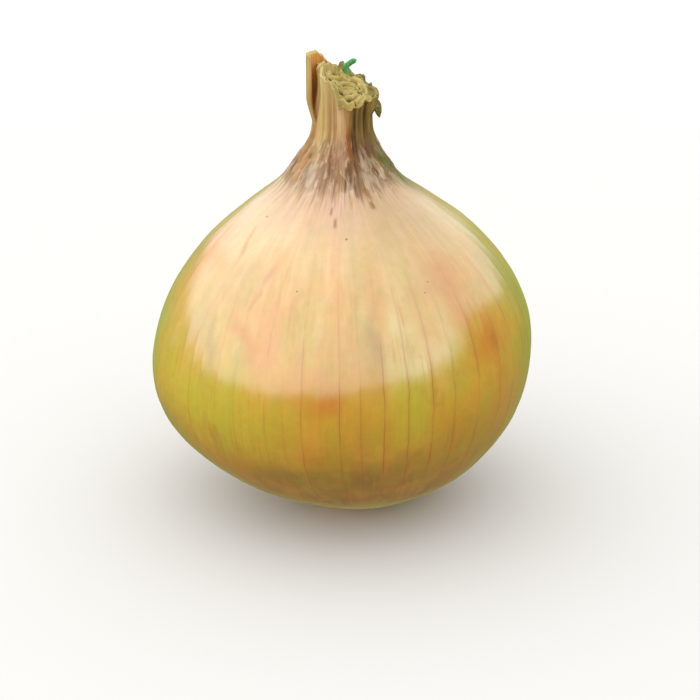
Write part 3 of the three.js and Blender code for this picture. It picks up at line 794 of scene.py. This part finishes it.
def smooth_path(points, count):
    """Catmull-Rom curve through a short list of points."""
    p = np.asarray(points, float)
    p = np.vstack([2 * p[0] - p[1], p, 2 * p[-1] - p[-2]])
    out = []
    for s in np.linspace(0, len(points) - 1, count):
        i = min(int(s), len(points) - 2)
        t = s - i
        p0, p1, p2, p3 = p[i : i + 4]
        out.append(0.5 * (
            2 * p1 + (p2 - p0) * t + (2 * p0 - 5 * p1 + 4 * p2 - p3) * t**2
            + (3 * p1 - p0 - 3 * p2 + p3) * t**3
        ))
    return np.array(out)


def shoot_leaf(material):
    """Green inner leaf: a short folded stub that bends over the back of the cut."""
    path = smooth_path(SHOOT_PATH, 40)
    t = np.linspace(0, 1, len(path))
    radius = SHOOT["width"] / 2 * (1.06 - 0.1 * smoothstep(t, 0.3, 0.9)) * np.sqrt(1 - 0.96 * smoothstep(t, 0.9, 1))
    vertices, faces = tube(path, radius, 24, flat=1.3 * SHOOT["thick"] / SHOOT["width"], turn=math.pi / 2)
    piece = mesh_object("shoot_leaf", vertices, faces)
    along = np.concatenate([np.repeat(t, 24), [0, 1]])
    give(piece, "up", along)
    return add(piece, material, "green_shoot")


# Torn ends of dry sheath: azimuth, then radius, height and half width of points along it, and flatness
SHREDS = [
    (84, [(12.3, 161.6, 1.1), (13.1, 160, 1.5), (13.6, 158, 1.4), (13.9, 156.3, 0.9), (14.3, 154.9, 0.08)], 1.7),
    (70, [(11.8, 162.6, 1.0), (12.1, 163.8, 0.9), (12.3, 164.6, 0.1)], 0.45),
    (118, [(11.9, 165, 1.2), (12.2, 166.2, 1.0), (12.4, 167, 0.1)], 0.4),
    (140, [(11.9, 167, 1.2), (12.2, 168.4, 1.1), (12.3, 169.4, 0.1)], 0.4),
]


def neck_shreds(material):
    """Small torn ends that stand off the rim and hang from the lip on the right."""
    parts = []
    for at, points, flat in SHREDS:
        r, z, half = smooth_path(points, 12).T
        a = math.radians(at)
        path = np.stack([axis_at(z) + r * math.sin(a), -r * math.cos(a), z], -1)
        hanging = points[-1][1] < points[0][1]
        parts.append(tube(path, np.maximum(half, 0.05), 14, flat=flat, turn=a + (0 if hanging else math.pi / 2)))
    piece = mesh_object("neck_shreds", *joined(parts))
    return add(piece, material, "bulb")


# Materials

def rgb(red, green, blue):
    """A linear colour from its usual 0 to 255 numbers."""
    def linear(value):
        c = value / 255
        return c / 12.92 if c <= 0.04045 else ((c + 0.055) / 1.055) ** 2.4

    return (linear(red), linear(green), linear(blue), 1)


class Nodes:
    """Short calls that add nodes to one tree and give back their output sockets."""

    def __init__(self, owner):
        owner.use_nodes = True
        self.tree = owner.node_tree

    def node(self, kind, **settings):
        made = self.tree.nodes.new(kind)
        for key, value in settings.items():
            setattr(made, key, value)
        return made

    def put(self, socket, value):
        if isinstance(value, bpy.types.NodeSocket):
            self.tree.links.new(value, socket)
        else:
            socket.default_value = value

    def math(self, operation, a, b=0.0, clamp=False):
        made = self.node("ShaderNodeMath", operation=operation, use_clamp=clamp)
        self.put(made.inputs[0], a)
        self.put(made.inputs[1], b)
        return made.outputs[0]

    def scaled(self, vector, scale):
        made = self.node("ShaderNodeVectorMath", operation="MULTIPLY")
        self.put(made.inputs[0], vector)
        self.put(made.inputs[1], scale)
        return made.outputs[0]

    def parts(self, vector):
        made = self.node("ShaderNodeSeparateXYZ")
        self.put(made.inputs[0], vector)
        return made.outputs

    def mix(self, factor, a, b, blend="MIX"):
        made = self.node("ShaderNodeMix", data_type="RGBA", blend_type=blend)
        self.put(made.inputs["Factor"], factor)
        self.put(made.inputs[6], a)
        self.put(made.inputs[7], b)
        return made.outputs[2]

    def noise(self, vector, scale, detail=3.0, roughness=0.55, distortion=0.0):
        made = self.node("ShaderNodeTexNoise")
        self.put(made.inputs["Vector"], vector)
        for key, value in (("Scale", scale), ("Detail", detail), ("Roughness", roughness), ("Distortion", distortion)):
            made.inputs[key].default_value = value
        return made.outputs["Fac"]

    def cells(self, vector, scale):
        made = self.node("ShaderNodeTexVoronoi", feature="F1")
        self.put(made.inputs["Vector"], vector)
        made.inputs["Scale"].default_value = scale
        return made.outputs

    def ramp(self, value, low, high):
        """0 below low and 1 above high, smooth between. Low above high turns it round."""
        made = self.node("ShaderNodeMapRange", interpolation_type="SMOOTHSTEP")
        self.put(made.inputs["Value"], value)
        made.inputs["From Min"].default_value, made.inputs["From Max"].default_value = low, high
        return made.outputs["Result"]

    def colours(self, value, stops):
        made = self.node("ShaderNodeValToRGB")
        self.put(made.inputs[0], value)
        ramp = made.color_ramp
        while len(ramp.elements) < len(stops):
            ramp.elements.new(0.5)
        for element, (at, colour) in zip(ramp.elements, stops):
            element.position = at
            element.color = colour
        return made.outputs["Color"]

    def attribute(self, name, output="Fac"):
        return self.node("ShaderNodeAttribute", attribute_name=name).outputs[output]

    def position(self):
        return self.node("ShaderNodeTexCoord").outputs["Object"]

    def bump(self, height, strength, distance, before=None):
        made = self.node("ShaderNodeBump")
        made.inputs["Strength"].default_value = strength
        made.inputs["Distance"].default_value = distance
        self.put(made.inputs["Height"], height)
        if before is not None:
            self.put(made.inputs["Normal"], before)
        return made.outputs["Normal"]


class Shader(Nodes):
    """The nodes of one new material."""

    def __init__(self, name):
        self.material = bpy.data.materials.new(name)
        super().__init__(self.material)
        self.surface = self.tree.nodes["Principled BSDF"]

    def finish(self, **values):
        """Sets inputs of the surface by name, with _ for a space."""
        for key, value in values.items():
            self.put(self.surface.inputs[key.replace("_", " ")], value)
        return self.material


def vein_lines(s, grain_vector, position):
    """Masks of the dark lines along the veins, about half a millimetre wide, and of the skin beside them."""
    x, y, _ = s.parts(grain_vector)
    turn = s.math("DIVIDE", s.math("ARCTAN2", y, x), 2 * math.pi)
    wander = s.noise(s.scaled(grain_vector, (1, 1, 1)), 9, 2)
    phase = s.math("MULTIPLY", turn, VEIN_COUNT)
    phase = s.math("ADD", phase, s.math("MULTIPLY", s.math("SUBTRACT", wander, 0.5), 0.14))
    aside = s.math("ABSOLUTE", s.math("SUBTRACT", phase, s.math("ROUND", phase)))
    px, py, _ = s.parts(position)
    radius = s.math("SQRT", s.math("ADD", s.math("MULTIPLY", px, px), s.math("MULTIPLY", py, py)))
    aside_mm = s.math("MULTIPLY", s.math("MULTIPLY", aside, radius), 2 * math.pi / VEIN_COUNT / MM)
    line = s.ramp(aside_mm, 0.42, 0.08)
    halo = s.ramp(aside_mm, 2.0, 0.2)
    return line, halo


def skin_material():
    s = Shader("onion_skin")
    grain_vector = s.attribute("grain", "Vector")
    position = s.position()
    height = s.attribute("height")
    strip = s.noise(s.scaled(grain_vector, (1, 1, 0.3)), 7.5, 2, 0.5, 0.3)
    fibre = s.noise(s.scaled(grain_vector, (1, 1, 0.05)), 60, 4, 0.6)
    hair = s.noise(s.scaled(grain_vector, (1, 1, 0.035)), 150, 3, 0.6)
    broad = s.noise(position, 20, 3)
    patch = s.noise(s.scaled(grain_vector, (1, 1, 0.5)), 8, 3, 0.6, 0.3)
    mottle = s.noise(position, 260, 4, 0.65)
    blotch = s.noise(position, 55, 3, 0.6)
    dry_zone = s.ramp(height, 114, 136)

    # Colour by height: darker towards the foot, golden round the middle, paler higher up, and darker and pinker near
    # the neck. The paler upper half is partly the skin's own tone and partly a painted sky reflection. The darker
    # shoulder by the neck is partly painted shade.
    body = s.colours(s.math("DIVIDE", height, 180.0), [
        (0.00, rgb(112, 74, 20)), (0.10, rgb(140, 96, 24)), (0.20, rgb(184, 136, 36)),
        (0.34, rgb(212, 168, 48)), (0.43, rgb(216, 172, 58)), (0.53, rgb(214, 180, 104)),
        (0.63, rgb(220, 184, 132)), (0.71, rgb(206, 164, 134)), (0.80, rgb(190, 152, 110)),
        (1.00, rgb(196, 164, 110)),
    ])
    vivid = s.math("SUBTRACT", 0.38, s.math("MULTIPLY", s.ramp(height, 96, 124), 0.24))
    colour = s.mix(s.math("MULTIPLY", s.ramp(strip, 0.48, 0.64), vivid), body, rgb(222, 142, 50))
    colour = s.mix(s.math("MULTIPLY", s.ramp(strip, 0.50, 0.36), vivid), colour, rgb(184, 172, 50))
    colour = s.mix(s.math("MULTIPLY", s.ramp(broad, 0.50, 0.64), s.math("MULTIPLY", vivid, 0.7)), colour, rgb(222, 150, 72))
    colour = s.mix(s.math("MULTIPLY", s.ramp(broad, 0.48, 0.38), s.math("MULTIPLY", vivid, 0.8)), colour, rgb(206, 184, 60))
    colour = s.mix(s.math("MULTIPLY", s.ramp(blotch, 0.52, 0.64), vivid), colour, rgb(186, 170, 54))
    colour = s.mix(s.math("MULTIPLY", s.ramp(blotch, 0.47, 0.36), vivid), colour, rgb(232, 166, 68))
    # Pale patches over the upper half: partly the skin's own paler patches and partly a painted sky reflection.
    pale = s.math("MULTIPLY", s.ramp(patch, 0.50, 0.66), s.ramp(height, 58, 96))
    colour = s.mix(s.math("MULTIPLY", pale, 0.30), colour, rgb(238, 204, 150))
    colour = s.mix(s.math("MULTIPLY", s.ramp(patch, 0.46, 0.36), s.math("MULTIPLY", vivid, 0.7)), colour, rgb(172, 138, 52))
    paint = s.node("ShaderNodeAttribute", attribute_name="body_paint")
    loose = s.ramp(s.math("ADD", s.math("MULTIPLY", patch, 0.5), s.math("MULTIPLY", fibre, 0.5)), 0.34, 0.52)
    colour = s.mix(s.math("MULTIPLY", paint.outputs["Alpha"], loose), colour, paint.outputs["Color"])
    grains = s.colours(mottle, [(0.34, rgb(232, 222, 206)), (0.60, rgb(255, 255, 255))])
    colour = s.mix(0.3, colour, s.mix(1, colour, grains, "MULTIPLY"))
    fine = s.colours(fibre, [(0.30, rgb(208, 198, 180)), (0.60, rgb(255, 255, 255))])
    fine_share = s.math("ADD", s.math("MULTIPLY", dry_zone, 0.25), 0.09)
    colour = s.mix(fine_share, colour, s.mix(1, colour, fine, "MULTIPLY"))
    hairs = s.colours(hair, [(0.34, rgb(200, 182, 160)), (0.58, rgb(255, 255, 255))])
    hair_share = s.math("ADD", s.math("MULTIPLY", dry_zone, 0.25), 0.03)
    colour = s.mix(hair_share, colour, s.mix(1, colour, hairs, "MULTIPLY"))

    line, halo = vein_lines(s, grain_vector, position)
    patchy = s.ramp(s.noise(s.scaled(grain_vector, (1, 1, 0.7)), 5, 1), 0.30, 0.58)
    shown = s.math("MULTIPLY", s.ramp(height, 122, 70), s.attribute("vein"))
    shown = s.math("MULTIPLY", shown, s.ramp(height, 2, 12))
    shown = s.math("MULTIPLY", shown, s.math("ADD", s.math("MULTIPLY", patchy, 0.75), 0.25))
    colour = s.mix(s.math("MULTIPLY", s.math("MULTIPLY", halo, shown), 0.26), colour, rgb(196, 120, 48))
    colour = s.mix(s.math("MULTIPLY", s.math("MULTIPLY", line, shown), 0.5), colour, rgb(148, 80, 30))

    # Dry neck: tan straw with brown and grey-pink strands, darker at its foot
    in_neck = s.ramp(height, 130, 143)
    strands = s.noise(s.scaled(grain_vector, (1, 1, 0.22)), 20, 5, 0.62)
    dry = s.colours(strands, [
        (0.30, rgb(112, 78, 42)), (0.42, rgb(164, 124, 76)), (0.54, rgb(198, 160, 108)),
        (0.68, rgb(216, 186, 138)), (0.80, rgb(184, 146, 116)),
    ])
    low_neck = s.math("MULTIPLY", s.ramp(height, 152, 143), 0.8)
    dry = s.mix(low_neck, dry, s.mix(1, dry, rgb(206, 196, 196), "MULTIPLY"))
    colour = s.mix(in_neck, colour, dry)
    # Torn paper with a painted shadow line below its edge, and the dark strands that run down over the shoulder
    flaky, flakes = s.attribute("flaky"), s.attribute("flakes")
    flakes = s.math("ADD", flakes, s.math("MULTIPLY", s.math("SUBTRACT", mottle, 0.5), 0.5))
    between = s.math("MULTIPLY", s.ramp(flakes, 0.53, 0.42), flaky)
    on_flake = s.math("MULTIPLY", s.ramp(flakes, 0.58, 0.70), flaky)
    colour = s.mix(s.math("MULTIPLY", between, 0.6), colour, rgb(116, 78, 44))
    colour = s.mix(s.math("MULTIPLY", on_flake, 0.55), colour, rgb(190, 168, 150))
    # Flecks of paper, each of one tint
    jog = s.node("ShaderNodeVectorMath", operation="ADD")
    s.put(jog.inputs[0], s.scaled(grain_vector, (1, 1, 1.3)))
    s.put(jog.inputs[1], s.math("MULTIPLY", mottle, 0.06))
    tint = s.parts(s.cells(jog.outputs[0], 17)["Color"])[0]
    fleck = s.colours(tint, [
        (0.05, rgb(112, 72, 40)), (0.30, rgb(158, 120, 86)), (0.55, rgb(196, 166, 138)), (0.95, rgb(222, 202, 186)),
    ])
    fleck_share = s.math("MULTIPLY", s.ramp(flakes, 0.36, 0.52), s.math("MULTIPLY", flaky, 0.5))
    colour = s.mix(fleck_share, colour, fleck)
    torn = s.attribute("torn")
    ragged = s.ramp(mottle, 0.42, 0.58)
    pale_edge = s.math("MULTIPLY", s.math("MULTIPLY", s.ramp(torn, 0.1, 0.9), ragged), 0.6)
    colour = s.mix(pale_edge, colour, rgb(206, 186, 168))
    # Painted shadow: a dark line just below the torn paper edge.
    colour = s.mix(s.math("MULTIPLY", s.ramp(torn, -0.1, -0.9), 0.45), colour, rgb(104, 70, 44))
    shoulder = s.math("MULTIPLY", s.ramp(height, 124, 131), s.ramp(height, 142, 136))
    ink = s.noise(s.scaled(grain_vector, (1, 1, 0.28)), 25, 5, 0.64, 0.6)
    colour = s.mix(s.math("MULTIPLY", s.math("MULTIPLY", s.ramp(ink, 0.47, 0.40), shoulder), 0.4), colour, rgb(204, 180, 166))
    colour = s.mix(s.math("MULTIPLY", s.math("MULTIPLY", s.ramp(ink, 0.52, 0.60), shoulder), 0.55), colour, rgb(112, 70, 38))

    neck_paint = s.node("ShaderNodeAttribute", attribute_name="neck_paint")
    frayed = s.ramp(s.math("ADD", s.math("MULTIPLY", mottle, 0.4), s.math("MULTIPLY", strands, 0.6)), 0.34, 0.50)
    frayed = s.math("ADD", s.math("MULTIPLY", frayed, 0.35), 0.65)
    colour = s.mix(s.math("MULTIPLY", neck_paint.outputs["Alpha"], frayed), colour, neck_paint.outputs["Color"])

    # Small dark spots, each at its place
    spot = 0.0
    for at, place_height, radius in SPOTS:
        place = skin_point(side_radius(place_height), np.array(at), np.array(place_height)) * MM
        far = s.node("ShaderNodeVectorMath", operation="DISTANCE")
        s.put(far.inputs[0], position)
        s.put(far.inputs[1], tuple(place))
        spot = s.math("MAXIMUM", s.ramp(far.outputs["Value"], radius * MM, 0.5 * radius * MM), spot)
    colour = s.mix(s.math("MULTIPLY", spot, 0.75), colour, rgb(112, 46, 22))

    gloss = s.math("SUBTRACT", 1.0, s.math("MULTIPLY", neck_paint.outputs["Alpha"], 0.9))
    gloss = s.math("MULTIPLY", gloss, s.ramp(height, 140, 122))
    relief = s.math("ADD", s.math("MULTIPLY", fibre, 0.5), s.math("MULTIPLY", hair, 0.3))
    relief = s.math("ADD", relief, s.math("MULTIPLY", s.math("ADD", strands, mottle), in_neck))
    normal = s.bump(relief, 0.25, 0.0004)
    s.finish(
        Base_Color=colour, Roughness=0.55, Normal=normal, Coat_Weight=gloss,
        Coat_Roughness=0.17, Coat_IOR=2.05,
    )
    s.surface.inputs["Specular IOR Level"].default_value = 0.35
    s.put(s.surface.inputs["Coat Normal"], s.bump(s.math("ADD", fibre, patch), 0.12, 0.0005))
    return s.material


def cut_material():
    s = Shader("cut_face")
    position = s.position()
    depth = s.attribute("depth")
    straw = s.noise(position, 800, 3, 0.55)
    broad = s.noise(position, 260, 2)
    colour = s.colours(straw, [
        (0.30, rgb(148, 130, 66)), (0.45, rgb(168, 150, 80)), (0.60, rgb(184, 166, 96)), (0.75, rgb(200, 184, 120)),
    ])
    colour = s.mix(s.math("MULTIPLY", s.ramp(broad, 0.48, 0.62), 0.4), colour, rgb(156, 156, 74))
    colour = s.mix(s.math("MULTIPLY", s.ramp(broad, 0.46, 0.34), 0.35), colour, rgb(184, 142, 92))
    colour = s.mix(s.math("MULTIPLY", s.attribute("wall"), 0.5), colour, rgb(184, 160, 106))
    # Painted highlight: the tops of the sheath ends, where the face lies least deep, are lightened.
    colour = s.mix(s.math("MULTIPLY", s.ramp(depth, 0.14, 0.02), 0.3), colour, rgb(222, 206, 150))
    paint = s.node("ShaderNodeAttribute", attribute_name="cut_paint")
    colour = s.mix(paint.outputs["Alpha"], colour, s.mix(0.3, paint.outputs["Color"], colour))
    # Painted shade: the face is darker the deeper it lies below the cut, in the gaps and holes between the sheaths.
    colour = s.mix(s.ramp(depth, 0.16, 0.62), colour, rgb(108, 82, 32))
    return s.finish(Base_Color=colour, Roughness=0.7, Normal=s.bump(straw, 0.25, 0.0003))


def sheath_material():
    s = Shader("peeled_sheath")
    grain_vector = s.attribute("grain", "Vector")
    strands = s.noise(s.scaled(grain_vector, (1, 1, 0.10)), 45, 4, 0.6)
    outside = s.colours(strands, [
        (0.30, rgb(142, 110, 62)), (0.48, rgb(184, 154, 98)), (0.62, rgb(206, 180, 128)), (0.78, rgb(186, 168, 108)),
    ])
    inside = s.colours(strands, [(0.32, rgb(206, 132, 62)), (0.55, rgb(236, 168, 88)), (0.75, rgb(246, 196, 122))])
    colour = s.mix(s.ramp(s.attribute("inner"), 0.2, 0.8), outside, inside)
    colour = s.mix(s.ramp(s.attribute("up"), 0.955, 0.985), colour, rgb(206, 184, 130))
    colour = s.mix(s.ramp(s.attribute("across"), 0.12, 0.02), colour, rgb(112, 92, 50))
    return s.finish(Base_Color=colour, Roughness=0.65, Normal=s.bump(strands, 0.4, 0.0004))


def shred_material():
    s = Shader("neck_shreds")
    straw = s.noise(s.position(), 900, 4, 0.6)
    colour = s.colours(straw, [(0.30, rgb(70, 72, 30)), (0.52, rgb(118, 114, 54)), (0.72, rgb(170, 152, 92))])
    return s.finish(Base_Color=colour, Roughness=0.75, Normal=s.bump(straw, 0.4, 0.0004))


def root_material():
    s = Shader("roots")
    position = s.position()
    fibres = s.noise(s.scaled(position, (1, 1, 0.3)), 700, 4, 0.6)
    colour = s.colours(fibres, [(0.30, rgb(92, 66, 40)), (0.52, rgb(158, 126, 84)), (0.72, rgb(200, 174, 130))])
    return s.finish(Base_Color=colour, Roughness=0.9, Normal=s.bump(fibres, 0.5, 0.0005))


def shoot_material():
    s = Shader("green_shoot")
    fibres = s.noise(s.scaled(s.position(), (1, 1, 0.4)), 1500, 3)
    colour = s.colours(fibres, [(0.35, rgb(44, 128, 76)), (0.6, rgb(92, 178, 120))])
    colour = s.mix(s.ramp(s.attribute("up"), 0.45, 0.1), colour, rgb(150, 170, 90))
    return s.finish(Base_Color=colour, Roughness=0.5, Normal=s.bump(fibres, 0.3, 0.0002))


# Stage

def round_stage(name, profile, shadows):
    """Part of the pale stage, turned round the middle: radius and height in metres. It shows to the camera only."""
    turn = np.arange(96) * 2 * np.pi / 96
    points = [np.stack([r * np.sin(turn), -r * np.cos(turn), 0 * turn + h], -1) / MM for r, h in profile]
    piece = grid_mesh(name, np.array(points), cap_first=shadows)
    piece.visible_glossy = piece.visible_diffuse = piece.visible_transmission = False
    piece.visible_shadow = shadows
    s = Shader(name)
    x, y, _ = s.parts(s.position())
    far = s.math("SQRT", s.math("ADD", s.math("MULTIPLY", x, x), s.math("MULTIPLY", y, y)))
    s.finish(Base_Color=(0.70, 0.71, 0.75, 1), Roughness=0.9, Emission_Color=(1, 1, 1, 1))
    s.put(s.surface.inputs["Emission Strength"], s.math("MULTIPLY", s.ramp(far, 0.5, 2.2), 1.0))
    s.material.cycles.emission_sampling = "NONE"
    piece.data.materials.append(s.material)


def open_sky():
    """Soft light from the whole sky, a little stronger from the left, over dim green ground
    that rises to the right behind the onion."""
    world = bpy.data.worlds.new("sky")
    bpy.context.scene.world = world
    s = Nodes(world)
    x, y, z = s.parts(s.node("ShaderNodeTexCoord").outputs["Generated"])
    heading = s.math("DIVIDE", s.math("ARCTAN2", x, s.math("MULTIPLY", y, -1.0)), 2 * math.pi)
    rise = s.colours(s.math("ADD", heading, 0.5), [
        (at / 360 + 0.5, (h - HORIZON_LOWEST,) * 3 + (1,)) for at, h in HORIZON
    ])
    over = s.math("SUBTRACT", z, s.math("ADD", rise, HORIZON_LOWEST))
    sky = s.ramp(over, 0.03, 0.13)
    bright = s.math("MULTIPLY", s.colours(z, [(at, (v / 2,) * 3 + (1,)) for at, v in SKY]), 2.0)
    bright = s.math("MULTIPLY", bright, s.math("SUBTRACT", 1.0, s.math("MULTIPLY", x, SKY_SIDE)))
    bright = s.math("MULTIPLY", bright, s.math("SUBTRACT", 1.0, s.math("MULTIPLY", s.ramp(y, -0.8, -0.97), FRONT_DIM)))
    ground = s.mix(s.ramp(z, -0.2, -0.85), s.mix(s.ramp(y, 0.3, 0.8), GRASS, MEADOW), EARTH)
    colour = s.mix(sky, ground, s.mix(1, (1, 0.98, 0.91, 1), bright, "MULTIPLY"))
    s.put(s.tree.nodes["Background"].inputs["Color"], colour)


def make_camera():
    data = bpy.data.cameras.new("camera")
    data.sensor_width = SENSOR_MM
    data.lens = PX_PER_UNIT / FRAME_PX * SENSOR_MM
    data.clip_start, data.clip_end = 0.01, 20
    camera = bpy.data.objects.new("camera", data)
    bpy.context.scene.collection.objects.link(camera)
    tilt = math.radians(CAMERA_ELEVATION)
    x, y, z = CAMERA_TARGET
    camera.location = (x, y - CAMERA_DISTANCE * math.cos(tilt), z + CAMERA_DISTANCE * math.sin(tilt))
    camera.rotation_euler = (math.pi / 2 - tilt, 0, 0)
    bpy.context.scene.camera = camera


make_camera()
open_sky()
round_stage("floor", FLOOR, True)
round_stage("backdrop", BACKDROP, False)
bpy.context.scene.view_settings.view_transform = "Standard"

skin = skin_material()
onion_skin(skin)
cut_face(cut_material())
peeled_sheath(sheath_material())
neck_shreds(shred_material())
roots = root_material()
root_disc(roots)
root_tuft(roots)
shoot_leaf(shoot_material())
